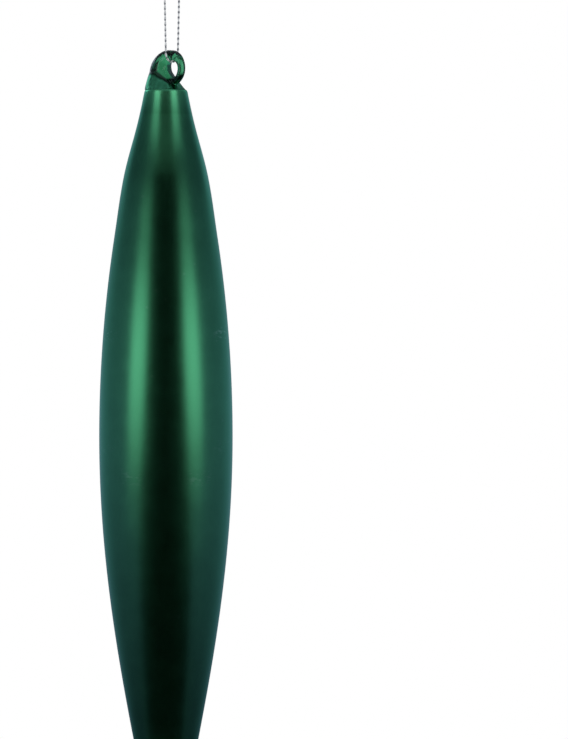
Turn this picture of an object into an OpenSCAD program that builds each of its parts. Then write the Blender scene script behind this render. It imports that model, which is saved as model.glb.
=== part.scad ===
// Hanging glass finial ornament: a long satin green drop with a curled glass hook and a thread loop.
// Millimetres, +Z up. The origin is the hanging point, on the inside of the loop's top.
// The eye of the hook faces along Y, and the hook curls over towards +X.

/* [Blown body] */
// Widest diameter of the finished body
body_d = 51.4; // [44:0.2:60]
// Diameter of the finished body at the shoulder, before its edge is rounded
shoulder_d = 16.4; // [15:0.2:20]
// Height of the rounded edge of the shoulder
edge_h = 0.8; // [0.4:0.1:1.5]
// How far the rounded edge draws in
edge_in = 0.15; // [0.1:0.05:0.6]
// From the shoulder down to the widest place
upper_h = 133.2; // [110:0.2:160]
// From the widest place down to where the round tip starts
lower_h = 176; // [140:1:210]
// Diameter of the round tip
tip_d = 3; // [2.4:0.1:5]
// How slender the lower half is: a higher power is more slender
lower_power = 1.16; // [1:0.01:1.4]
// How far the neck draws in, and then swells out, from an even curve
neck_draw = 0.42; // [0:0.02:0.8]
// Length of one draw and swell of the neck
neck_h = 45.4; // [36:0.2:60]
// Wall of the blown glass
glass_wall = 1; // [0.7:0.05:1.5]

/* [Coatings] */
// Thickness of the satin lacquer on the outside
coat_t = 0.1; // [0.06:0.01:0.2]
// Thickness of the silvering on the inside
film_t = 0.1; // [0.06:0.01:0.2]

/* [Glass hook] */
// Height of the leaning column of solid glass above the shoulder
column_h = 7.3; // [6.6:0.1:9]
// Radius of the column at its top
column_r = 4.4; // [3.6:0.1:5]
// How far the column leans away from the eye
column_lean = 2.8; // [2:0.1:4]
// Height of the middle of the arch above the shoulder
arch_h = 13.4; // [12.8:0.1:15]
// Radius of the glass rod at the top of the arch, where the thread bears
arch_r = 2; // [1.7:0.1:2.4]
// From the body's axis to the thread's seat under the arch
eye_offset = 3.3; // [2.6:0.1:4]
// How far the curl reaches past the thread's seat
curl_reach = 5.3; // [5:0.05:6.4]
// How far below the arch the curl is widest
curl_drop = 5.2; // [4.9:0.1:5.6]
// How far round the eye the curl goes before it melts into the column, in degrees
curl_turn = 168; // [155:1:178]
// Radius of the rod on the far side of the curl
limb_r = 1.5; // [1.3:0.05:1.9]
// Radius of the curl's foot
foot_r = 1.4; // [1.2:0.1:1.8]

/* [Thread] */
// Diameter of the twisted silver thread
thread_d = 0.8; // [0.6:0.05:1]
// From the hanging point down to the middle of the hook's arch
loop_h = 66; // [50:1:90]
// Radius of the peg or twig that the top of the loop goes over
peg_r = 4.4; // [3.8:0.1:6]
// Radius of the thread's springy turn under the arch, along its middle
bight_r = 3.2; // [2.9:0.1:3.8]
// Straight thread below the loop's round top, down to where the legs start to twist
top_straight = 5; // [5:0.1:10]
// Running gap where one piece of the hanger turns on another
seat_gap = 0.15; // [0.1:0.01:0.25]
// Length of each free end of thread at the knot
tail_l = 6; // [3:0.5:9]
// Height of the knot
knot_h = 3; // [2.6:0.1:3.4]
// Diameter of the knot across its wraps
knot_d = 2.7; // [2.4:0.1:3.2]

/* [Hidden] */

$fn = 96;
satin_green = "#1d5040";
glass_green = "#2f8a63";
silver = "#c9ced0";

// Sizes that follow from the ones above
body_r = body_d / 2;
shoulder_r = shoulder_d / 2;
tip_r = tip_d / 2;
base_r = shoulder_r - edge_in;
thread_r = thread_d / 2;
arch_z = -loop_h;
shoulder_z = arch_z - arch_h;
loop_r = peg_r + thread_r;
bight_z = arch_z - arch_r - seat_gap - thread_r + bight_r;
twist_z = -peg_r - top_straight;

// The legs stop one thread radius above the turn, where the thread bends as the ornament swings
flex_gap = thread_r;

// Steps round the shoulder's edge, along each half of the body's outline, and round the tip
edge_steps = 4;
outline_steps = 44;
tip_steps = 6;

// The neck's wave fades out from its highest place, over half a wave
fade_start = 0.75;
fade_end = fade_start + 0.5;

// The bore inside the glass ends where it gets narrower than this
least_bore_r = tip_r / 3;

// The blown body: radius of its finished outline at a depth below the shoulder.
// The wave of the drawn neck goes in for half its length, out again, and then fades to nothing.
function neck_wave(depth) =
    let (turns = depth / neck_h)
    turns < fade_start ? -sin(360 * turns)
    : turns < fade_end ? (1 + cos(360 * (turns - fade_start))) / 2
    : 0;

// The rounded edge at the top of the shoulder
function edge_cut(depth) = edge_in * max(1 - depth / edge_h, 0) ^ 2;

// A parabola from the shoulder to the widest place, with the neck's wave and the rounded edge on it
function upper_radius(depth) =
    body_r - (body_r - shoulder_r) * (1 - depth / upper_h) ^ 2
    + neck_draw * neck_wave(depth) - edge_cut(depth);

// A power of a cosine from the widest place down to the tip
function lower_radius(depth) =
    tip_r + (body_r - tip_r) * max(cos(90 * depth / lower_h), 0) ^ lower_power;

// Finished outline from the shoulder to the tip, as [radius, depth below the shoulder]
finished_outline = concat(
    [for (i = [0 : edge_steps - 1])
        let (depth = edge_h * i / edge_steps) [upper_radius(depth), depth]],
    [for (i = [0 : outline_steps - 1])
        let (depth = edge_h + (upper_h - edge_h) * i / outline_steps) [upper_radius(depth), depth]],
    [for (i = [0 : outline_steps])
        let (depth = lower_h * i / outline_steps) [lower_radius(depth), upper_h + depth]]
);

// The same outline moved in by a thickness and closed by a round tip, or, where the bore runs out
// before the tip, by a flat end
function outline_inside(inset) =
    let (tip = tip_r - inset,
         wall_line = [for (p = finished_outline) if (p[0] - inset > least_bore_r) [p[0] - inset, p[1]]])
    tip > least_bore_r
        ? concat(wall_line, [for (i = [1 : tip_steps])
              let (turn = 90 * i / tip_steps)
              [tip * cos(turn), upper_h + lower_h + tip * sin(turn)]])
        : concat(wall_line, [[0, wall_line[len(wall_line) - 1][1]]]);

// A skin between two insets, open at the shoulder
module turned_skin(outer_inset, inner_inset) {
    outer = outline_inside(outer_inset);
    inner = outline_inside(inner_inset);
    outline = concat(outer, [for (i = [len(inner) - 1 : -1 : 0]) inner[i]]);
    translate([-eye_offset, 0, shoulder_z])
        rotate_extrude() polygon([for (p = outline) [max(p[0], 0), -p[1]]]);
}

// Blown glass shell, closed at the tip and open at the shoulder, where the hook is fused on
module glass_body() {
    color(glass_green) turned_skin(coat_t, coat_t + glass_wall);
}

// Silvering on the inside of the shell
module silver_lining() {
    color(silver) turned_skin(coat_t + glass_wall, coat_t + glass_wall + film_t);
}

// Satin lacquer on the outside, from the shoulder down over the tip
module satin_coat() {
    color(satin_green) turned_skin(0, coat_t);
}

// The hook: a column that leans from the shoulder, an arch over to the thread's seat, and a curl
// round the eye. Each ring is [along, up, rod radius, turn], where turn is 0 for a level ring and
// grows as the rod bends over towards +X. The lean starts fast, by its power, and the arch keeps its
// thickness at first, by its taper.
hook_sides = 24;
lean_power = 0.62;
arch_taper = 0.63;
column_steps = 8;
arch_steps = 12;
curl_steps = 28;

// Values from one radius to another on an even curve, for a share from 0 to 1
function eased(from, to, share) = from + (to - from) * (1 - cos(180 * share)) / 2;

column_rings = [for (i = [0 : column_steps])
    let (share = i / column_steps)
    [-column_lean * share ^ lean_power, column_h * share, base_r + (column_r - base_r) * share, 0]];

arch_rings = [for (i = [1 : arch_steps])
    let (turn = 90 * i / arch_steps)
    [-column_lean + (column_lean + eye_offset) * (1 - cos(turn)),
     column_h + (arch_h - column_h) * sin(turn),
     column_r + (arch_r - column_r) * (1 - cos(turn)) ^ arch_taper,
     turn]];

curl_rings = [for (i = [0 : curl_steps])
    let (turn = curl_turn * i / curl_steps)
    [eye_offset + curl_reach * sin(turn),
     arch_h - curl_drop * (1 - cos(turn)),
     turn < 90 ? eased(arch_r, limb_r, turn / 90) : eased(limb_r, foot_r, (turn - 90) / (curl_turn - 90)),
     90 + turn]];

// A rod with round sections: one polyhedron through a list of rings, closed by flat ends
module ringed_rod(rings) {
    last = len(rings) - 1;
    points = [for (ring = rings) for (j = [0 : hook_sides - 1])
        let (angle = 360 * j / hook_sides, across = ring[2] * cos(angle))
        [ring[0] + across * cos(ring[3]), ring[2] * sin(angle), ring[1] - across * sin(ring[3])]];
    sides = [for (i = [0 : last - 1]) for (j = [0 : hook_sides - 1]) for (half = [0, 1])
        let (next = (j + 1) % hook_sides,
             a = i * hook_sides + j,
             b = i * hook_sides + next,
             c = a + hook_sides,
             d = b + hook_sides)
        half == 0 ? [a, c, b] : [b, c, d]];
    start_cap = [for (j = [1 : hook_sides - 2]) [0, j, j + 1]];
    end_cap = [for (j = [1 : hook_sides - 2])
        [last * hook_sides, last * hook_sides + j + 1, last * hook_sides + j]];
    polyhedron(points, concat(sides, start_cap, end_cap));
}

// Solid glass hook, drawn up from a base that closes the body's neck
module glass_hook() {
    color(glass_green) translate([-eye_offset, 0, shoulder_z]) {
        ringed_rod(concat(column_rings, arch_rings));
        ringed_rod(curl_rings);
    }
}

// The thread: a half ring of thread in the YZ plane, open downwards
module half_ring(radius) {
    rotate([90, 0, 90]) rotate_extrude(angle = 180) translate([radius, 0]) circle(r = thread_r);
}

// Round top of the loop, which goes over a peg or twig, with the knot in its far side
module hanging_loop() {
    color(silver) {
        translate([0, 0, -peg_r]) half_ring(loop_r);
        translate([0, -loop_r, twist_z]) cylinder(r = thread_r, h = top_straight);
        translate([0, loop_r, twist_z + knot_h]) cylinder(r = thread_r, h = top_straight - knot_h);
    }
}

// Overhand knot that closes the loop: wraps round a core, and two free ends that droop outwards
knot_wraps = 3;
wrap_gap = 0.04;
wrap_pitch = knot_h / knot_wraps;
wrap_r = (wrap_pitch - wrap_gap) / 2;
knot_core_r = knot_d / 2 - wrap_r;
tail_spread = 20;
tail_fall = 125;

module thread_knot() {
    color(silver) translate([0, loop_r, twist_z]) {
        cylinder(r = knot_core_r, h = knot_h);
        for (i = [0 : knot_wraps - 1])
            translate([0, 0, wrap_pitch * (i + 0.5)])
                rotate_extrude() translate([knot_core_r, 0]) circle(r = wrap_r);
        for (side = [-1, 1])
            translate([0, 0, knot_h / 2]) rotate([0, 0, side * tail_spread]) rotate([-tail_fall, 0, 0])
                cylinder(r = thread_r, h = knot_core_r + tail_l);
    }
}

// Two straight legs of thread, from under the loop's top down to either side of the arch
module thread_legs() {
    rise = twist_z - seat_gap - bight_z - flex_gap;
    spread = loop_r - bight_r;
    color(silver) for (side = [-1, 1])
        translate([0, side * bight_r, bight_z + flex_gap])
            rotate([-side * atan(spread / rise), 0, 0])
                cylinder(r = thread_r, h = sqrt(rise ^ 2 + spread ^ 2));
}

// Short turn of thread under the arch, through the eye
module thread_bight() {
    color(silver) translate([0, 0, bight_z]) rotate([180, 0, 0]) half_ring(bight_r);
}

hanging_loop();
thread_knot();
thread_legs();
thread_bight();
glass_hook();
glass_body();
silver_lining();
satin_coat();
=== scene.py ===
import math

import bmesh
import bpy
import numpy as np
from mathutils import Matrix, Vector


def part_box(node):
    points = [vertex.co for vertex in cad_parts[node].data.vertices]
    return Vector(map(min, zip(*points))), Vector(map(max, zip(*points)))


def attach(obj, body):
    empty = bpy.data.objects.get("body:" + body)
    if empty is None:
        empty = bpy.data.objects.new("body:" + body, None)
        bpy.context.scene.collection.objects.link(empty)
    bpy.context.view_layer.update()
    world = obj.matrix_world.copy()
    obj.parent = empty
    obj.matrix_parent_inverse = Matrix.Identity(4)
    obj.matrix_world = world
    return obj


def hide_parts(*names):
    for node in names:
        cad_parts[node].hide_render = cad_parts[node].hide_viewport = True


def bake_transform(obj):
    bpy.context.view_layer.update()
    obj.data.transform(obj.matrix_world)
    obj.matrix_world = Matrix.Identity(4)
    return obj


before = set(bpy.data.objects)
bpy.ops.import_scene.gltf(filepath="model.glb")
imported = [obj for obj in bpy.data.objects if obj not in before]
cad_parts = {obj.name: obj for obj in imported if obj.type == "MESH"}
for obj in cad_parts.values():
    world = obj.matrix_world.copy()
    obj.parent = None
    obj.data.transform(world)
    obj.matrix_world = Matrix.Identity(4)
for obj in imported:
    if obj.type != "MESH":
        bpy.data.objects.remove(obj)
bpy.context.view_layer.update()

# Camera
# The picture was taken level with the drop and through a long lens, 45 degrees off the plane of the
# hook. The drop hangs left of the picture's middle, and its tip is below the picture's lower edge.
MM = 0.001
picture_w, picture_h = 568, 739
axis_pixel = 165.45
shoulder_pixel = 90.0
widest_pixels = 133.5
camera_azimuth = math.radians(45)
camera_distance = 2.0
coat_low, coat_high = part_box("satin_coat")
body_r = (coat_high[0] - coat_low[0]) / 2
axis_x = (coat_high[0] + coat_low[0]) / 2
shoulder_z = coat_high[2]
metres_per_pixel = 2 * body_r / widest_pixels

towards_camera = Vector((math.sin(camera_azimuth), -math.cos(camera_azimuth), 0))
camera_right = Vector((math.cos(camera_azimuth), math.sin(camera_azimuth), 0))
aim = Vector((axis_x, 0, shoulder_z))
aim += camera_right * ((picture_w - 1) / 2 - axis_pixel) * metres_per_pixel
aim.z -= ((picture_h - 1) / 2 - shoulder_pixel) * metres_per_pixel
camera_data = bpy.data.cameras.new("camera")
camera = bpy.data.objects.new("camera", camera_data)
bpy.context.collection.objects.link(camera)
camera.location = aim + towards_camera * camera_distance
camera.rotation_euler = (-towards_camera).to_track_quat("-Z", "Y").to_euler()
camera_data.lens = camera_data.sensor_width * camera_distance / (picture_h * metres_per_pixel)
bpy.context.scene.camera = camera


# Hanging thread
# Two-ply silver yarn, a metallised film wound round a core, cut to one length and knotted into a loop.
# It hangs taut from the loop's round top, and turns once under the arch of the hook, through the eye.
thread_r = 0.4 * MM
peg_r = 4.4 * MM
bight_r = 3.2 * MM
top_straight = 5.0 * MM
arch_z = -66.0 * MM
arch_r = 2.0 * MM
seat_gap = 0.15 * MM
join_rise = 2.6 * MM
lay_pitch = 4.1 * MM
ply_waist = 0.78
loop_r = peg_r + thread_r
twist_z = -peg_r - top_straight
bight_z = arch_z - arch_r - seat_gap - thread_r + bight_r
join_z = bight_z + join_rise
thread_step = 0.14 * MM
thread_sides = 20
arc_points = 121
same_point = 1e-8


def even_path(corners, step):
    """Points at even steps along a line through the given points, which are close together on bends."""
    corners = np.asarray(corners, float)
    run = np.concatenate([[0], np.cumsum(np.linalg.norm(np.diff(corners, axis=0), axis=1))])
    along = np.linspace(0, run[-1], max(int(round(run[-1] / step)), 2) + 1)
    return np.stack([np.interp(along, run, corners[:, axis]) for axis in range(3)], 1), along


def half_ring(centre_z, radius, start, end):
    """An arc in the YZ plane: y = radius cos(turn), z = centre + radius sin(turn)."""
    turn = np.radians(np.linspace(start, end, arc_points))
    return np.stack([0 * turn, radius * np.cos(turn), centre_z + radius * np.sin(turn)], 1)


def grid_object(name, grid, around=True, caps=False):
    """A mesh over a grid of points (rows, columns, 3), whose columns close round and whose first and
    last rows can be capped. Rows run along the piece and columns anticlockwise about that way, so that
    the faces point outwards. Points that fall together, as at a pole, are merged."""
    rows, columns = grid.shape[:2]
    index = np.arange(rows * columns).reshape(rows, columns)
    ahead = np.roll(index, -1, axis=1)
    quads = np.stack([index[:-1], ahead[:-1], ahead[1:], index[1:]], -1)
    quads = quads if around else quads[:, :-1]
    faces = quads.reshape(-1, 4).tolist()
    if caps:
        faces += [index[0, ::-1].tolist(), index[-1].tolist()]
    mesh = bpy.data.meshes.new(name)
    mesh.from_pydata(grid.reshape(-1, 3).tolist(), [], faces)
    work = bmesh.new()
    work.from_mesh(mesh)
    bmesh.ops.remove_doubles(work, verts=work.verts, dist=same_point)
    work.to_mesh(mesh)
    work.free()
    mesh.polygons.foreach_set("use_smooth", np.ones(len(mesh.polygons), bool))
    piece = bpy.data.objects.new(name, mesh)
    bpy.context.collection.objects.link(piece)
    return piece


def yarn(name, path, along, side):
    """Two-ply yarn along a path. The section's radius is R sqrt(1 - waist sin^2 a), which is two lobes
    with a waist between them, and the angle a runs on by a full turn in each pitch of the lay. The side
    vector, made square to the path, is where the section's own angle starts. Each point keeps how far
    out it lies as a share of R, its length along the yarn in millimetres, and its share of a turn."""
    tangent = np.gradient(path, axis=0)
    tangent /= np.linalg.norm(tangent, axis=1, keepdims=True)
    normal = side - (tangent @ side)[:, None] * tangent
    normal /= np.linalg.norm(normal, axis=1, keepdims=True)
    binormal = np.cross(tangent, normal)
    angle = np.linspace(0, 2 * np.pi, thread_sides, endpoint=False)
    lay = angle[None] - 2 * np.pi * along[:, None] / lay_pitch
    radius = thread_r * np.sqrt(1 - ply_waist * np.sin(lay) ** 2)
    across = (np.cos(angle)[None, :, None] * normal[:, None]
              + np.sin(angle)[None, :, None] * binormal[:, None])
    piece = grid_object(name, path[:, None] + radius[..., None] * across, caps=True)
    for kept, values in (("ply_height", radius / thread_r),
                         ("yarn_mm", np.repeat(along / MM, thread_sides)),
                         ("yarn_turn", np.tile(angle / (2 * np.pi), len(along)))):
        attribute = piece.data.attributes.new(kept, "FLOAT", "POINT")
        attribute.data.foreach_set("value", values.ravel().astype(np.float32))
    return piece


leg_foot_y = bight_r + (loop_r - bight_r) * (join_z - bight_z) / (twist_z - bight_z)
loop_corners = np.concatenate([
    [[0, -leg_foot_y, join_z], [0, -loop_r, twist_z]],
    half_ring(-peg_r, loop_r, 180, 0),
    [[0, loop_r, twist_z], [0, leg_foot_y, join_z]]])
loop_path, loop_along = even_path(loop_corners, thread_step)
thread_loop = yarn("thread_loop", loop_path, loop_along, np.array([1.0, 0, 0]))

bight_corners = np.concatenate([
    [[0, leg_foot_y, join_z]],
    half_ring(bight_z, bight_r, 0, -180),
    [[0, -leg_foot_y, join_z]]])
bight_path, bight_along = even_path(bight_corners, thread_step)
thread_turn = yarn("thread_turn", bight_path, bight_along + loop_along[-1], np.array([1.0, 0, 0]))


def linear(colour):
    """An sRGB hex colour as linear red, green, blue and alpha."""
    parts = [int(colour[i:i + 2], 16) / 255 for i in (1, 3, 5)]
    return [c / 12.92 if c <= 0.04045 else ((c + 0.055) / 1.055) ** 2.4 for c in parts] + [1.0]


def add(tree, kind, inputs=None, stops=(), **settings):
    """Adds a node with its settings, and sets or links its inputs. The stops are a colour ramp's places
    and their sRGB colours."""
    node = tree.nodes.new(kind)
    for name, value in settings.items():
        setattr(node, name, value)
    for socket, value in (inputs or {}).items():
        if isinstance(value, bpy.types.NodeSocket):
            tree.links.new(value, node.inputs[socket])
        else:
            node.inputs[socket].default_value = value
    if stops:
        ramp = node.color_ramp.elements
        ramp.remove(ramp[1])
        ramp[0].position = stops[0][0]
        ramp[0].color = linear(stops[0][1])
        for place, colour in stops[1:]:
            ramp.new(place).color = linear(colour)
    return node


def new_material(name):
    """A material with an empty tree and its output node."""
    material = bpy.data.materials.new(name)
    material.use_nodes = True
    material.node_tree.nodes.clear()
    return material, material.node_tree, add(material.node_tree, "ShaderNodeOutputMaterial")


# Metallised yarn: bright film on the crowns of the plies, greyed by painted shade in the furrow between
# them, and dark spots of painted shade every 2.04 mm along it, where the plies cross. The film's wraps
# are really 0.25 mm wide, and are drawn 0.5 mm wide to show.
film_wrap_mm = 0.5
film_rise = 0.03 * MM
spot_pitch_mm = 2.04
yarn_material, tree, output = new_material("metallised_yarn")
ply_height = add(tree, "ShaderNodeAttribute", attribute_name="ply_height").outputs["Fac"]
yarn_mm = add(tree, "ShaderNodeAttribute", attribute_name="yarn_mm").outputs["Fac"]
yarn_turn = add(tree, "ShaderNodeAttribute", attribute_name="yarn_turn").outputs["Fac"]
slant = add(tree, "ShaderNodeMath", {0: yarn_mm, 1: 1 / film_wrap_mm}, operation="MULTIPLY").outputs[0]
wrap = add(tree, "ShaderNodeMath", {0: slant, 1: yarn_turn}, operation="ADD").outputs[0]
wave = add(tree, "ShaderNodeMath", {0: wrap, 1: 2 * math.pi}, operation="MULTIPLY").outputs[0]
ridge = add(tree, "ShaderNodeMath", {0: wave}, operation="SINE").outputs[0]
film_bump = add(tree, "ShaderNodeBump", {"Height": ridge, "Strength": 0.35, "Distance": film_rise})
# Painted shade: the film is grey low in the furrow between the plies and pale on their crowns.
film_and_painted_furrow_shade = add(tree, "ShaderNodeValToRGB", {"Fac": ply_height}, stops=((0.47, "#9a9ea4"), (0.7, "#e6e9ec")))
# Painted shade: dark spots at each spot pitch along the yarn, where the plies cross.
spot_wave = add(tree, "ShaderNodeMath", {
    0: yarn_mm, 1: 2 * math.pi / spot_pitch_mm}, operation="MULTIPLY").outputs[0]
spot = add(tree, "ShaderNodeMath", {0: spot_wave}, operation="COSINE").outputs[0]
painted_shade_spot = add(tree, "ShaderNodeMapRange", {"Value": spot, "From Min": 0.1, "From Max": 0.7})
spotted = add(tree, "ShaderNodeMix", {
    "Factor": painted_shade_spot.outputs["Result"], "A": film_and_painted_furrow_shade.outputs["Color"], "B": linear("#7e828a")},
    data_type="RGBA")
surface = add(tree, "ShaderNodeBsdfPrincipled", {
    "Base Color": spotted.outputs["Result"], "Metallic": 0.2, "Roughness": 0.34,
    "Normal": film_bump.outputs["Normal"]})
tree.links.new(surface.outputs["BSDF"], output.inputs["Surface"])

for piece, nodes in ((thread_loop, ("hanging_loop", "thread_legs")), (thread_turn, ("thread_bight",))):
    piece.data.materials.append(yarn_material)
    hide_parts(*nodes)
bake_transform(thread_loop)
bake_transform(thread_turn)


# Knot of the thread
# The thread's two ends, tied in an overhand knot pulled tight on the far leg, with short free ends that
# droop outwards. The wraps lie round the leg.
knot_h = 3.0 * MM
knot_turns = 3.0
knot_wrap_r = 0.87 * MM
knot_centre = np.array([0, loop_r, twist_z + knot_h / 2])
tail_reach = np.array([1.93, 5.29, -3.94]) * MM
first_handles = np.array([[-1.2, 4.2, -0.6], [1.4, 1.1, 1.1]]) * MM
last_handles = np.array([[-1.4, 1.1, -1.2], [1.0, 3.8, -1.2]]) * MM
wrap_points = 160
tail_points = 40


def bezier(a, b, c, d):
    """A cubic curve from a to d that leaves towards b and arrives from c."""
    t = np.linspace(0, 1, tail_points)[:, None]
    return (1 - t) ** 3 * a + 3 * t * (1 - t) ** 2 * b + 3 * t ** 2 * (1 - t) * c + t ** 3 * d


wrap_share = np.linspace(0, 1, wrap_points)
wrap_turn = np.pi / 2 + 2 * np.pi * knot_turns * wrap_share
wrap_climb = (knot_h / 2 - thread_r) * (1 - 2 * wrap_share)
knot_helix = np.stack([knot_wrap_r * np.cos(wrap_turn), knot_wrap_r * np.sin(wrap_turn), wrap_climb], 1)
first_tail = bezier(tail_reach * [-1, 1, 1], *first_handles, knot_helix[0])
last_tail = bezier(knot_helix[-1], *last_handles, tail_reach)
knot_corners = np.concatenate([first_tail[:-1], knot_helix, last_tail[1:]]) + knot_centre
knot_path, knot_along = even_path(knot_corners, thread_step)
thread_knot = yarn("overhand_knot", knot_path, knot_along, np.array([0, 0, 1.0]))

thread_knot.data.materials.append(yarn_material)
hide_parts("thread_knot")
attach(thread_knot, "hanger")


# Blown shell and its silvering
# The shell is green glass blown to about 1 mm, and its inside is silvered through the open neck before
# the hook closes it. Both lie under the lacquer, and show only through the foot of the glass hook.
cord_width = 2.2 * MM
cord_draw = 0.25
cord_rise = 0.5 * MM
glass_density = 130.0
shell_roughness = 0.05
tarnish_size = 6.0 * MM


def green_glass(name, roughness):
    """Green glass worked at the flame: it is clear, and a deeper green the thicker it is. Cords of
    uneven glass, drawn out along Z, streak its colour and ripple what is seen through it. Returns the
    material, its tree and shader, the cords and the streaked colour."""
    material, tree, output = new_material(name)
    coords = add(tree, "ShaderNodeTexCoord").outputs["Object"]
    drawn = add(tree, "ShaderNodeMapping", {"Vector": coords, "Scale": (1, 1, cord_draw)})
    cords = add(tree, "ShaderNodeTexNoise", {
        "Vector": drawn.outputs["Vector"], "Scale": 1 / cord_width, "Detail": 1.0}).outputs["Fac"]
    ripple = add(tree, "ShaderNodeBump", {"Height": cords, "Strength": 0.6, "Distance": cord_rise})
    streaks = add(tree, "ShaderNodeValToRGB", {"Fac": cords}, stops=(
        (0.36, "#46996f"), (0.62, "#58ba8d"))).outputs["Color"]
    surface = add(tree, "ShaderNodeBsdfPrincipled", {
        "Base Color": streaks, "Roughness": roughness, "IOR": 1.5, "Transmission Weight": 1.0,
        "Specular Tint": linear("#dcfff2"), "Normal": ripple.outputs["Normal"]})
    body = add(tree, "ShaderNodeVolumeAbsorption", {"Color": linear("#00a07c"), "Density": glass_density})
    tree.links.new(surface.outputs["BSDF"], output.inputs["Surface"])
    tree.links.new(body.outputs["Volume"], output.inputs["Volume"])
    return material, tree, surface, cords, streaks


# Silvering, left on the glass by a bath: a bright mirror, faintly clouded where it has tarnished.
silvering, tree, output = new_material("silvering")
coords = add(tree, "ShaderNodeTexCoord").outputs["Object"]
cloud = add(tree, "ShaderNodeTexNoise", {"Vector": coords, "Scale": 1 / tarnish_size, "Detail": 3.0})
tarnish = add(tree, "ShaderNodeValToRGB", {"Fac": cloud.outputs["Fac"]}, stops=(
    (0.0, "#b9bfc1"), (1.0, "#e3e7e8")))
surface = add(tree, "ShaderNodeBsdfPrincipled", {
    "Base Color": tarnish.outputs["Color"], "Metallic": 1.0, "Roughness": 0.12})
tree.links.new(surface.outputs["BSDF"], output.inputs["Surface"])

shell_glass = green_glass("blown_green_glass", shell_roughness)[0]
for node, finish in (("silver_lining", silvering), ("glass_body", shell_glass)):
    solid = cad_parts[node]
    solid.data.materials.clear()
    solid.data.materials.append(finish)


# Satin lacquer
# A green metallic lacquer with a matting agent, sprayed over the whole shell up to its shoulder. It is a
# little brighter at the neck, has a faint darker ring about 9 mm down, and is even in colour below.
coat_t = 0.1 * MM
shoulder_r = 8.2 * MM
edge_h = 0.8 * MM
edge_in = 0.15 * MM
upper_h = 133.2 * MM
lower_h = 176.0 * MM
tip_r = 1.5 * MM
lower_power = 1.16
neck_draw = 0.42 * MM
neck_h = 45.4 * MM
fade_start = 0.75
fade_end = 1.25
edge_rows, upper_rows, lower_rows, tip_rows = 8, 130, 150, 14
coat_columns = 160
sharp_angle = math.radians(50)


def body_outline(depth):
    """Radius at a depth below the shoulder. Above the widest place it is a parabola, with the neck's
    sine wave on it that fades out as a cosine, and a rounded edge. Below, it is a power of a cosine."""
    turns = depth / neck_h
    fading = np.where(turns < fade_end, (1 + np.cos(2 * np.pi * (turns - fade_start))) / 2, 0)
    wave = np.where(turns < fade_start, -np.sin(2 * np.pi * turns), fading)
    edge = edge_in * np.maximum(1 - depth / edge_h, 0) ** 2
    upper = body_r - (body_r - shoulder_r) * (1 - depth / upper_h) ** 2 + neck_draw * wave - edge
    quarter = np.clip((depth - upper_h) / lower_h, 0, 1) * np.pi / 2
    lower = tip_r + (body_r - tip_r) * np.cos(quarter) ** lower_power
    return np.where(depth < upper_h, upper, lower)


def wall_line(inset):
    """The outline moved in by an inset, from the shoulder to the round tip, as radius and height."""
    depth = np.concatenate([
        np.linspace(0, edge_h, edge_rows, endpoint=False),
        np.linspace(edge_h, upper_h, upper_rows, endpoint=False),
        np.linspace(upper_h, upper_h + lower_h, lower_rows)])
    turn = np.linspace(0, np.pi / 2, tip_rows)[1:]
    radius = np.concatenate([body_outline(depth) - inset, (tip_r - inset) * np.cos(turn)])
    height = np.concatenate([-depth, -(upper_h + lower_h) - (tip_r - inset) * np.sin(turn)])
    return np.maximum(radius, 0), height + shoulder_z


def turned(name, radius, height, columns):
    """A surface of revolution: the line of radii and heights carried round the body's axis."""
    angle = np.linspace(0, 2 * np.pi, columns, endpoint=False)
    x = axis_x + radius[:, None] * np.cos(angle)
    y = radius[:, None] * np.sin(angle)
    return grid_object(name, np.stack([x, y, np.repeat(height[:, None], columns, 1)], -1))


outer_r, outer_z = wall_line(0)
inner_r, inner_z = wall_line(coat_t)
lacquer_coat = turned("lacquer_coat", np.concatenate([outer_r[::-1], inner_r]),
                      np.concatenate([outer_z[::-1], inner_z]), coat_columns)
lacquer_coat.data.set_sharp_from_angle(angle=sharp_angle)

# Satin metallic lacquer: metal flakes under a matt skin, which give the eye broad soft bands of light
# and a deep green between them, a little patchy. The matting agent's grains are really some hundredths
# of a millimetre wide, and are drawn 0.5 mm wide to show.
neck_span = 60.0 * MM
patch_size = 9.0 * MM
grain_size = 0.5 * MM
grain_rise = 0.05 * MM
lacquer, tree, output = new_material("satin_metallic_lacquer")
coords = add(tree, "ShaderNodeTexCoord").outputs["Object"]
height = add(tree, "ShaderNodeSeparateXYZ", {"Vector": coords}).outputs["Z"]
down_neck = add(tree, "ShaderNodeMapRange", {
    "Value": height, "From Min": shoulder_z, "From Max": shoulder_z - neck_span})
build = add(tree, "ShaderNodeValToRGB", {"Fac": down_neck.outputs["Result"]}, stops=(
    (0.0, "#66ca96"), (0.10, "#59b687"), (0.148, "#50a87b"), (0.165, "#56b283"), (0.9, "#54b081")))
mottle = add(tree, "ShaderNodeTexNoise", {
    "Vector": coords, "Scale": 1 / patch_size, "Detail": 4.0, "Roughness": 0.6}).outputs["Fac"]
patchy = add(tree, "ShaderNodeMapRange", {
    "Value": mottle, "From Min": 0.3, "From Max": 0.7, "To Min": 0.93, "To Max": 1.05})
matt = add(tree, "ShaderNodeMapRange", {
    "Value": mottle, "From Min": 0.3, "From Max": 0.7, "To Min": 0.29, "To Max": 0.33})
colour = add(tree, "ShaderNodeMix", {
    "Factor": 1.0, "A": build.outputs["Color"], "B": patchy.outputs["Result"]},
    data_type="RGBA", blend_type="MULTIPLY")
grain = add(tree, "ShaderNodeTexNoise", {"Vector": coords, "Scale": 1 / grain_size, "Detail": 2.0})
tooth = add(tree, "ShaderNodeBump", {
    "Height": grain.outputs["Fac"], "Strength": 0.08, "Distance": grain_rise})
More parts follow.
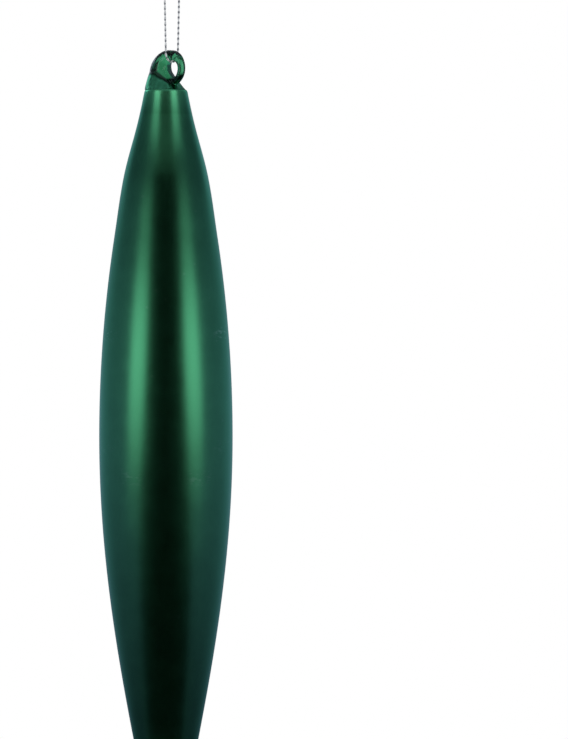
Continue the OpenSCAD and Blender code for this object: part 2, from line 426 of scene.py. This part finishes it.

# Pale marks in two fields, paired across the main view: at the drop's two sides, at two depths, and half
# way out to the sides, at one depth. A depth is a share of the way from marks_top to marks_end. A place
# is how far aside it lies, as a share of the widest radius, along a direction of the drop's own, half way
# between X and Y, which the main view sees as left to right. Pale nibs of dust lie all over.
marks_top = shoulder_z - 84.0 * MM
marks_end = shoulder_z - 160.0 * MM
right_way = Vector((1, 1, 0)).normalized()
none, faint, some, full = "#000000", "#909090", "#aaaaaa", "#ffffff"
pale_mark_fields = (
    (((0.078, none), (0.13, full), (0.174, none), (0.651, none), (0.695, faint), (0.738, none)),
     ((0.7, none), (0.82, full))),
    (((0.8, none), (0.85, some), (0.906, none)),
     ((0.3, none), (0.42, full), (0.6, full), (0.75, none))))
pale_mark_size = 3.2 * MM
pale_mark_flat = 3.0
dust_spacing = 10.0 * MM
nib_r = 0.8 * MM
mark_depth = add(tree, "ShaderNodeMapRange", {"Value": height, "From Min": marks_top, "From Max": marks_end})
from_axis = add(tree, "ShaderNodeVectorMath", {0: coords, 1: (axis_x, 0, 0)}, operation="SUBTRACT")
to_right = add(tree, "ShaderNodeVectorMath", {
    0: from_axis.outputs["Vector"], 1: tuple(right_way / body_r)}, operation="DOT_PRODUCT")
aside = add(tree, "ShaderNodeMath", {0: to_right.outputs["Value"]}, operation="ABSOLUTE").outputs[0]
fields = []
for depths, places in pale_mark_fields:
    by_depth = add(tree, "ShaderNodeValToRGB", {"Fac": mark_depth.outputs["Result"]}, stops=depths)
    by_place = add(tree, "ShaderNodeValToRGB", {"Fac": aside}, stops=places)
    fields.append(add(tree, "ShaderNodeMath", {
        0: by_depth.outputs["Color"], 1: by_place.outputs["Color"]}, operation="MULTIPLY").outputs[0])
in_mark_fields = add(tree, "ShaderNodeMath", {0: fields[0], 1: fields[1]}, operation="ADD").outputs[0]
lying = add(tree, "ShaderNodeMapping", {"Vector": coords, "Scale": (1, 1, pale_mark_flat)})
mark_noise = add(tree, "ShaderNodeTexNoise", {
    "Vector": lying.outputs["Vector"], "Scale": 1 / pale_mark_size, "Detail": 3.0, "Roughness": 0.6})
pale_mark = add(tree, "ShaderNodeMapRange", {
    "Value": mark_noise.outputs["Fac"], "From Min": 0.52, "From Max": 0.68, "To Max": 0.6})
pale_marks = add(tree, "ShaderNodeMath", {0: pale_mark.outputs["Result"], 1: in_mark_fields}, operation="MULTIPLY")
dust = add(tree, "ShaderNodeTexVoronoi", {"Vector": coords, "Scale": 1 / dust_spacing})
nib = add(tree, "ShaderNodeMapRange", {
    "Value": dust.outputs["Distance"], "From Min": nib_r / dust_spacing, "From Max": 0.0, "To Max": 0.12})
marks = add(tree, "ShaderNodeMath", {
    0: pale_marks.outputs[0], 1: nib.outputs["Result"]}, operation="MAXIMUM")
marked = add(tree, "ShaderNodeMix", {
    "Factor": marks.outputs[0], "A": colour.outputs["Result"], "B": linear("#acf0d4")}, data_type="RGBA")
surface = add(tree, "ShaderNodeBsdfPrincipled", {
    "Base Color": marked.outputs["Result"], "Metallic": 1.0, "Roughness": matt.outputs["Result"],
    "Specular Tint": linear("#d6fff6"), "Normal": tooth.outputs["Normal"]})
tree.links.new(surface.outputs["BSDF"], output.inputs["Surface"])
lacquer_coat.data.materials.append(lacquer)
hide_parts("satin_coat")
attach(lacquer_coat, "ornament")


# Glass hook
# Solid green glass, drawn up hot from a gather that closes the neck, arched over and curled back until
# its foot melts onto its own root. The fire leaves it glossy.
column_h = 7.3 * MM
column_r = 4.4 * MM
column_lean = 2.8 * MM
lean_power = 0.62
arch_taper = 0.63
arch_h = 13.4 * MM
eye_offset = 3.3 * MM
curl_reach = 5.3 * MM
curl_drop = 5.2 * MM
curl_turn = math.radians(168)
limb_r = 1.5 * MM
foot_r = 1.4 * MM
root_r = shoulder_r - edge_in
column_rings, arch_rings, curl_rings = 24, 40, 90
hook_sides = 72
melt_grid = 0.16 * MM
melt_share = 0.5
melt_passes = 10
hook_roughness = 0.02


def eased(start, end, share):
    """From one value to another along half a cosine."""
    return start + (end - start) * (1 - np.cos(np.pi * share)) / 2


def rod(name, along, up, radius, turn):
    """A rod with round sections: a ring at each station of a bent line in the XZ plane, tipped over
    towards +X by the turn."""
    angle = np.linspace(0, 2 * np.pi, hook_sides, endpoint=False)
    across = radius[:, None] * np.cos(angle)
    x = axis_x + along[:, None] + across * np.cos(turn)[:, None]
    y = radius[:, None] * np.sin(angle)
    z = shoulder_z + up[:, None] - across * np.sin(turn)[:, None]
    return grid_object(name, np.stack([x, y, z], -1), caps=True)


share = np.linspace(0, 1, column_rings)
bend = np.radians(np.linspace(0, 90, arch_rings))[1:]
column_along = -column_lean * share ** lean_power
arch_along = eye_offset - (column_lean + eye_offset) * np.cos(bend)
column_up = column_h * share
arch_up = column_h + (arch_h - column_h) * np.sin(bend)
column_radius = root_r + (column_r - root_r) * share
arch_radius = column_r + (arch_r - column_r) * (1 - np.cos(bend)) ** arch_taper
drawn_up = rod(
    "drawn_hook",
    np.concatenate([column_along, arch_along]),
    np.concatenate([column_up, arch_up]),
    np.concatenate([column_radius, arch_radius]),
    np.concatenate([0 * share, bend]))
curl = np.linspace(0, curl_turn, curl_rings)
over_top = eased(arch_r, limb_r, np.clip(curl / (np.pi / 2), 0, 1))
to_foot = eased(limb_r, foot_r, np.clip((curl - np.pi / 2) / (curl_turn - np.pi / 2), 0, 1))
curled_back = rod(
    "curled_hook",
    eye_offset + curl_reach * np.sin(curl),
    arch_h - curl_drop * (1 - np.cos(curl)),
    np.where(curl < np.pi / 2, over_top, to_foot),
    np.pi / 2 + curl)

# The two rods are melted into one skin, and the seam where the foot lies on the root is smoothed.
melting = bmesh.new()
melting.from_mesh(drawn_up.data)
melting.from_mesh(curled_back.data)
hook_mesh = bpy.data.meshes.new("curled_glass_hook")
melting.to_mesh(hook_mesh)
melting.free()
bpy.data.objects.remove(drawn_up)
bpy.data.objects.remove(curled_back)
glass_hook = bpy.data.objects.new("curled_glass_hook", hook_mesh)
bpy.context.collection.objects.link(glass_hook)
fuse = glass_hook.modifiers.new("fuse", "REMESH")
fuse.mode = "VOXEL"
fuse.voxel_size = melt_grid
fuse.use_smooth_shade = True
soften = glass_hook.modifiers.new("soften", "SMOOTH")
soften.factor = melt_share
soften.iterations = melt_passes
bpy.context.view_layer.update()
melted = glass_hook.evaluated_get(bpy.context.evaluated_depsgraph_get())
fused = bpy.data.meshes.new_from_object(melted)
glass_hook.modifiers.clear()
glass_hook.data = fused
fused.name = "curled_glass_hook"

# Drawn green glass, polished by the fire: glossy and clear, pale where it is thin, and nearly black
# where it bends the light far aside. Silvering has run up into its root, below any of three slanting
# planes, and is a dulled green mirror there. A nearly black band of painted shade, widest on one side,
# lies along its ragged edge.
# A plane has its height on the axis, above the shoulder, and its slope. The directions are the hook's
# own, at 45 degrees to X and Y, and the main view sees them as towards it and to the right.
front_way = Vector((1, -1, 0)).normalized()
silver_planes = (
    (2.2 * MM, 0.45 * front_way - 0.8 * right_way),
    (2.3 * MM, 0.6 * right_way),
    (0.3 * MM, -0.15 * front_way - 0.35 * right_way))
silver_ragged = 2.4 * MM
silver_soft = 1.4 * MM
silver_roughness = 0.2
silver_green = 0.7
# Painted shade: where the nearly black band lies along the silvering's ragged edge, and how wide it is.
painted_shade_from, painted_shade_full = -0.8 * MM, 0.4 * MM
painted_shade_narrow, painted_shade_wide = 0.4 * MM, 3.0 * MM
wide_way = 0.6 * front_way - 0.8 * right_way
wide_from, wide_to = 0.5 * MM, 5.5 * MM
hook_glass, tree, surface, cords, streaks = green_glass("drawn_green_glass", hook_roughness)
coords = add(tree, "ShaderNodeTexCoord").outputs["Object"]
from_root = add(tree, "ShaderNodeVectorMath", {
    0: coords, 1: (axis_x, 0, shoulder_z)}, operation="SUBTRACT").outputs["Vector"]
above = []
for rise, slope in silver_planes:
    level = add(tree, "ShaderNodeVectorMath", {
        0: from_root, 1: (-slope.x, -slope.y, 1)}, operation="DOT_PRODUCT").outputs["Value"]
    above.append(add(tree, "ShaderNodeMath", {0: level, 1: rise}, operation="SUBTRACT").outputs[0])
lowest = above[0]
for other in above[1:]:
    lowest = add(tree, "ShaderNodeMath", {0: lowest, 1: other}, operation="MINIMUM").outputs[0]
ragged = add(tree, "ShaderNodeMath", {
    0: cords, 1: silver_ragged, 2: lowest}, operation="MULTIPLY_ADD").outputs[0]
silvered = add(tree, "ShaderNodeMapRange", {
    "Value": ragged, "From Min": silver_soft, "From Max": 0.0},
    interpolation_type="SMOOTHSTEP").outputs["Result"]
dulled = add(tree, "ShaderNodeMapRange", {
    "Value": silvered, "To Min": hook_roughness, "To Max": silver_roughness})
to_wide_side = add(tree, "ShaderNodeVectorMath", {
    0: from_root, 1: tuple(wide_way)}, operation="DOT_PRODUCT")
painted_shade_width = add(tree, "ShaderNodeMapRange", {
    "Value": to_wide_side.outputs["Value"], "From Min": wide_from, "From Max": wide_to,
    "To Min": painted_shade_narrow, "To Max": painted_shade_wide})
beyond = add(tree, "ShaderNodeMath", {
    0: ragged, 1: painted_shade_width.outputs["Result"]}, operation="SUBTRACT")
before_painted_shade = add(tree, "ShaderNodeMapRange", {
    "Value": ragged, "From Min": painted_shade_full, "From Max": painted_shade_from, "To Max": silver_green})
past_painted_shade = add(tree, "ShaderNodeMapRange", {
    "Value": beyond.outputs[0], "From Min": 0.0, "From Max": silver_soft})
clear = add(tree, "ShaderNodeMath", {
    0: before_painted_shade.outputs["Result"], 1: past_painted_shade.outputs["Result"]}, operation="MAXIMUM")
# Painted shade: the glass's colour is mixed to nearly black in the band along the silvering's edge.
green = add(tree, "ShaderNodeMix", {
    "Factor": clear.outputs[0], "A": linear("#05110b"), "B": streaks}, data_type="RGBA")
tree.links.new(silvered, surface.inputs["Metallic"])
tree.links.new(dulled.outputs["Result"], surface.inputs["Roughness"])
tree.links.new(green.outputs["Result"], surface.inputs["Base Color"])
fused.materials.append(hook_glass)
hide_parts("glass_hook")
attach(glass_hook, "ornament")


# Studio
# A white room, in which a dark round screen with two tall windows stands about the drop. Only what the
# lacquer and the glass reflect and bend shows it, as two bands with a dark middle. A close collar of
# small cards does the same for the hook and rides on the ornament, because it has to stay about it.

# Turns are degrees from the camera's side, heights are metres, and a level of 1 is white. The screen ends
# short of its back, and glass sees a pale room through its front and white far round.
screen_r = 0.34
screen_top = 0.35
screen_end = 170.0
screen_columns, screen_rows = 681, 191
floor_z = -0.6
edge_z = (-0.466, -0.393, -0.285, -0.215, -0.145, -0.059, 0.016)
window_inner = (62.0, 55.0, 45.0, 39.0, 33.5, 33.5, 33.5)
window_outer = (72.0, 70.0, 68.0, 64.5, 62.0, 58.0, 56.0)
window_z = (-0.6, -0.307, -0.269, -0.242, -0.221, -0.199, -0.172,
            -0.124, -0.102, -0.081, -0.059, -0.028, 0.005, 0.35)
window_level = (0.02, 0.06, 0.12, 0.32, 0.58, 0.92, 1.26, 1.4, 1.2, 0.72, 0.4, 0.17, 0.08, 0.07)
side_z = (-0.6, -0.435, -0.361, -0.285, -0.199, -0.091, -0.017, 0.35)
side_level = (0.018, 0.03, 0.075, 0.125, 0.185, 0.15, 0.073, 0.065)
side_turn = (60.0, 100.0, 114.0, 128.0, 140.0, 152.0, 170.0)
side_share = (1.0, 0.95, 1.05, 1.35, 1.55, 2.0, 2.0)
rim_turn, rim_level = (120.0, 134.0), (0.0, 0.2)
rim_z, rim_share = (-0.09, -0.06, 0.0, 0.03), (0.0, 1.0, 1.0, 0.0)
front_z = (-0.6, -0.361, -0.199, 0.35)
front_level = (0.003, 0.004, 0.005, 0.003)
cool_z = (-0.414, -0.145)
cool_low = np.array([1.15, 1.0, 1.75])
cool_high = np.array([0.95, 1.0, 1.42])
pale_full, pale_end, pale_level = 80.0, 100.0, 0.8
white_start, white_full = 152.0, 152.5


def screen_colour(turn, z):
    """Light of the screen at turns and heights, as red, green and blue: a dark front as far as the
    windows' inner edges, the windows as far as their outer edges, and cool sides from there, which
    brighten far round, and most by the neck."""
    azimuth = np.abs(turn)
    neck_rim = np.interp(azimuth, rim_turn, rim_level) * np.interp(z, rim_z, rim_share)
    grey = np.interp(z, side_z, side_level) * np.interp(azimuth, side_turn, side_share) + neck_rim
    height_share = np.interp(z, cool_z, (0, 1))[..., None]
    side = grey[..., None] * (cool_low + (cool_high - cool_low) * height_share)
    window = np.maximum(np.interp(z, window_z, window_level)[..., None], side)
    front = np.interp(z, front_z, front_level)[..., None] * np.ones(3)
    light = np.where((azimuth < np.interp(z, edge_z, window_outer))[..., None], window, side)
    return np.where((azimuth < np.interp(z, edge_z, window_inner))[..., None], front, light)


def set_light(piece, name, light):
    """Keeps red, green and blue for each point of a card, or one colour for all of them."""
    values = np.ones((len(piece.data.vertices), 4), np.float32)
    values[:, :3] = np.reshape(light, (-1, 3))
    piece.data.attributes.new(name, "FLOAT_COLOR", "POINT").data.foreach_set("color", values.ravel())


def standing_screen(name, radius, turns, heights, colours, white_behind=0):
    """A wall of a round screen about the body's axis that carries its own light. What is seen of it
    through glass has a second light: at least a pale room in front, which fades out at the sides, and
    far round the level given for behind."""
    facing = math.atan2(towards_camera.y, towards_camera.x)
    turns, heights = np.meshgrid(turns, heights)
    angle = facing + np.radians(turns)
    wall = np.stack([axis_x + radius * np.cos(angle), radius * np.sin(angle), heights], -1)
    piece = grid_object(name, wall, around=False)
    light = colours(turns, heights)
    pale = np.interp(np.abs(turns), (pale_full, pale_end, white_start, white_full),
                     (pale_level, 0, 0, white_behind))
    set_light(piece, "light", light)
    set_light(piece, "light_through_glass", np.maximum(light, pale[..., None]))
    return piece


screen = standing_screen("dark_screen", screen_r, np.linspace(-screen_end, screen_end, screen_columns),
                         np.linspace(floor_z, screen_top, screen_rows), screen_colour, white_behind=1)

# The collar has a front, two windows beside it and a pale strip far round on each side. Above it stands
# a crown for the slopes of the hook's root, and behind it on the right a small dark flag.
collar_r = 0.06
collar_low, collar_high = -0.065, -0.035
collar_front_end, collar_side_start, collar_side_end = 28.0, 28.1, 152.0
collar_front_z = (-0.086, -0.07, -0.06, -0.05)
collar_front_level = (0.06, 0.11, 0.09, 0.05)
collar_window_end, collar_window_level = 58.0, 1.1
collar_side_level = 0.16
collar_side_tint = np.array([0.85, 1.0, 1.15])
strip_left, strip_right = 1.15, 0.35
strip_turn, strip_share = (112.0, 122.0, 146.0, 152.0), (0.0, 1.0, 1.0, 0.3)
crown_low, crown_high = -0.034, 0.01
crown_turn = (-100.0, -80.0, -30.0, 10.0, 30.0, 90.0, 130.0)
crown_level = (0.3, 0.2, 0.2, 0.22, 0.3, 0.14, 0.2)
crown_tint = np.array([0.9, 1.0, 1.1])
flag_start, flag_end = 153.0, 170.0
flag_low, flag_high = -0.09, -0.05
flag_level = 0.09


def collar_colour(turn, z):
    """Light of the collar: the front's level goes by height, and the sides' by the turn."""
    azimuth = np.abs(turn)
    strip = np.where(turn < 0, strip_left, strip_right)
    in_strip = np.interp(azimuth, strip_turn, strip_share)
    side = (collar_side_level + (strip - collar_side_level) * in_strip)[..., None] * collar_side_tint
    beside = np.where((azimuth < collar_window_end)[..., None], collar_window_level * np.ones(3), side)
    front = np.interp(z, collar_front_z, collar_front_level)[..., None] * np.ones(3)
    return np.where((azimuth < collar_front_end)[..., None], front, beside)


def crown_colour(turn, z):
    """Light of the crown, by the turn alone."""
    return np.interp(turn, crown_turn, crown_level)[..., None] * crown_tint


def flag_colour(turn, z):
    """Light of the flag, the same all over."""
    return np.full(turn.shape + (3,), flag_level)


# Each card: its name, its turns with a count of columns, its heights with a count of rows, and its light.
collar = [
    standing_screen(name, collar_r, np.linspace(*turns), np.linspace(*heights), colours)
    for name, turns, heights, colours in (
        ("collar_front", (-collar_front_end, collar_front_end, 57),
         (collar_front_z[0], collar_high, 12), collar_colour),
        ("collar_right", (collar_side_start, collar_side_end, 125),
         (collar_low, collar_high, 7), collar_colour),
        ("collar_left", (-collar_side_end, -collar_side_start, 125),
         (collar_low, collar_high, 7), collar_colour),
        ("crown", (-collar_side_end, collar_side_end, 153), (crown_low, crown_high, 5), crown_colour),
        ("rear_flag", (flag_start, flag_end, 18), (flag_low, flag_high, 9), flag_colour))]

# A lid and a base close the screen. The base is brightest below the drop.
disc_sides = 64
card_overlap = 0.01
lid_level = 0.34
base_rings = 15
base_away, base_level = (0.1, 0.26), (0.2, 0.01)
base_through_glass = 0.8
card_tint = np.array([0.9, 1.0, 1.15])


def disc(name, radii, z):
    """A flat disc of rings about the Z axis, facing up."""
    angle = np.linspace(0, 2 * np.pi, disc_sides, endpoint=False)
    x = radii[:, None] * np.cos(angle)
    y = radii[:, None] * np.sin(angle)
    return grid_object(name, np.stack([x, y, 0 * x + z], -1))


lid = disc("dark_lid", np.array([screen_r + card_overlap, 0.0]), screen_top)
base = disc("dark_base", np.linspace(screen_r + card_overlap, 0, base_rings), floor_z + card_overlap)
base_points = np.zeros(3 * len(base.data.vertices), np.float32)
base.data.vertices.foreach_get("co", base_points)
from_middle = np.hypot(base_points[0::3], base_points[1::3])[:, None]
base_light = np.interp(from_middle, base_away, base_level)
for piece, reflected, through_glass in ((lid, lid_level, lid_level),
                                        (base, base_light, base_through_glass)):
    set_light(piece, "light", reflected * card_tint)
    set_light(piece, "light_through_glass", through_glass * card_tint)

# Dark card: it shows the eye nothing of itself, only the light that it carries, one for reflections and
# one for what is seen through glass.
card, tree, output = new_material("dark_card")
shown = add(tree, "ShaderNodeAttribute", attribute_name="light").outputs["Color"]
through = add(tree, "ShaderNodeAttribute", attribute_name="light_through_glass").outputs["Color"]
in_glass = add(tree, "ShaderNodeLightPath").outputs["Is Transmission Ray"]
card_light = add(tree, "ShaderNodeMix", {"Factor": in_glass, "A": shown, "B": through}, data_type="RGBA")
glow = add(tree, "ShaderNodeEmission", {"Color": card_light.outputs["Result"], "Strength": 1.0})
tree.links.new(glow.outputs["Emission"], output.inputs["Surface"])
card.cycles.emission_sampling = "NONE"
for piece in collar:
    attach(piece, "ornament")
for piece in (screen, *collar, lid, base):
    piece.data.materials.append(card)
    piece.visible_camera = False
    piece.visible_diffuse = False
    piece.visible_shadow = False

# Pale paper on the floor: matt below the drop, and fading into the white of the room.
floor_r = 1.2
floor_rings = 40
fade_from, fade_to = 0.45 * floor_r, 0.95 * floor_r
floor = disc("floor", np.linspace(floor_r, 0, floor_rings), floor_z)
paper, tree, output = new_material("pale_paper")
coords = add(tree, "ShaderNodeTexCoord").outputs["Object"]
flat = add(tree, "ShaderNodeVectorMath", {0: coords, 1: (1, 1, 0)}, operation="MULTIPLY")
away = add(tree, "ShaderNodeVectorMath", {0: flat.outputs["Vector"]}, operation="LENGTH")
fade = add(tree, "ShaderNodeMapRange", {
    "Value": away.outputs["Value"], "From Min": fade_from, "From Max": fade_to},
    interpolation_type="SMOOTHSTEP")
matt_paper = add(tree, "ShaderNodeBsdfDiffuse", {"Color": linear("#f2f2f0")})
white = add(tree, "ShaderNodeEmission", {"Color": linear("#ffffff"), "Strength": 1.0})
blend = add(tree, "ShaderNodeMixShader", {
    0: fade.outputs["Result"], 1: matt_paper.outputs["BSDF"], 2: white.outputs["Emission"]})
tree.links.new(blend.outputs["Shader"], output.inputs["Surface"])
paper.cycles.emission_sampling = "NONE"
floor.data.materials.append(paper)

lamp_data = bpy.data.lights.new("overhead_softbox", "AREA")
lamp_data.shape = "DISK"
lamp_data.size = 0.8
lamp_data.energy = 6.0
lamp = bpy.data.objects.new("overhead_softbox", lamp_data)
bpy.context.collection.objects.link(lamp)
lamp.location = (0.2, -0.3, 1.2)
lamp.rotation_euler = (Vector((0, 0, floor_z)) - lamp.location).to_track_quat("-Z", "Y").to_euler()
lamp.visible_camera = False
lamp.visible_glossy = False
lamp.visible_transmission = False

# The room lights the drop softly, and is plain white where it is seen, reflected or looked through.
world = bpy.data.worlds.new("white_room")
bpy.context.scene.world = world
world.use_nodes = True
tree = world.node_tree
tree.nodes.clear()
rays = add(tree, "ShaderNodeLightPath").outputs
seen_or_reflected = add(tree, "ShaderNodeMath", {
    0: rays["Is Camera Ray"], 1: rays["Is Glossy Ray"]}, operation="MAXIMUM")
seen = add(tree, "ShaderNodeMath", {
    0: seen_or_reflected.outputs[0], 1: rays["Is Transmission Ray"]}, operation="MAXIMUM")
room = add(tree, "ShaderNodeBackground", {"Color": linear("#ffffff"), "Strength": 0.7})
backdrop = add(tree, "ShaderNodeBackground", {"Color": linear("#ffffff"), "Strength": 1.0})
mixed = add(tree, "ShaderNodeMixShader", {
    0: seen.outputs[0], 1: room.outputs["Background"], 2: backdrop.outputs["Background"]})
add(tree, "ShaderNodeOutputWorld", {"Surface": mixed.outputs["Shader"]})
world.cycles.sampling_method = "NONE"

bpy.context.scene.view_settings.view_transform = "Standard"
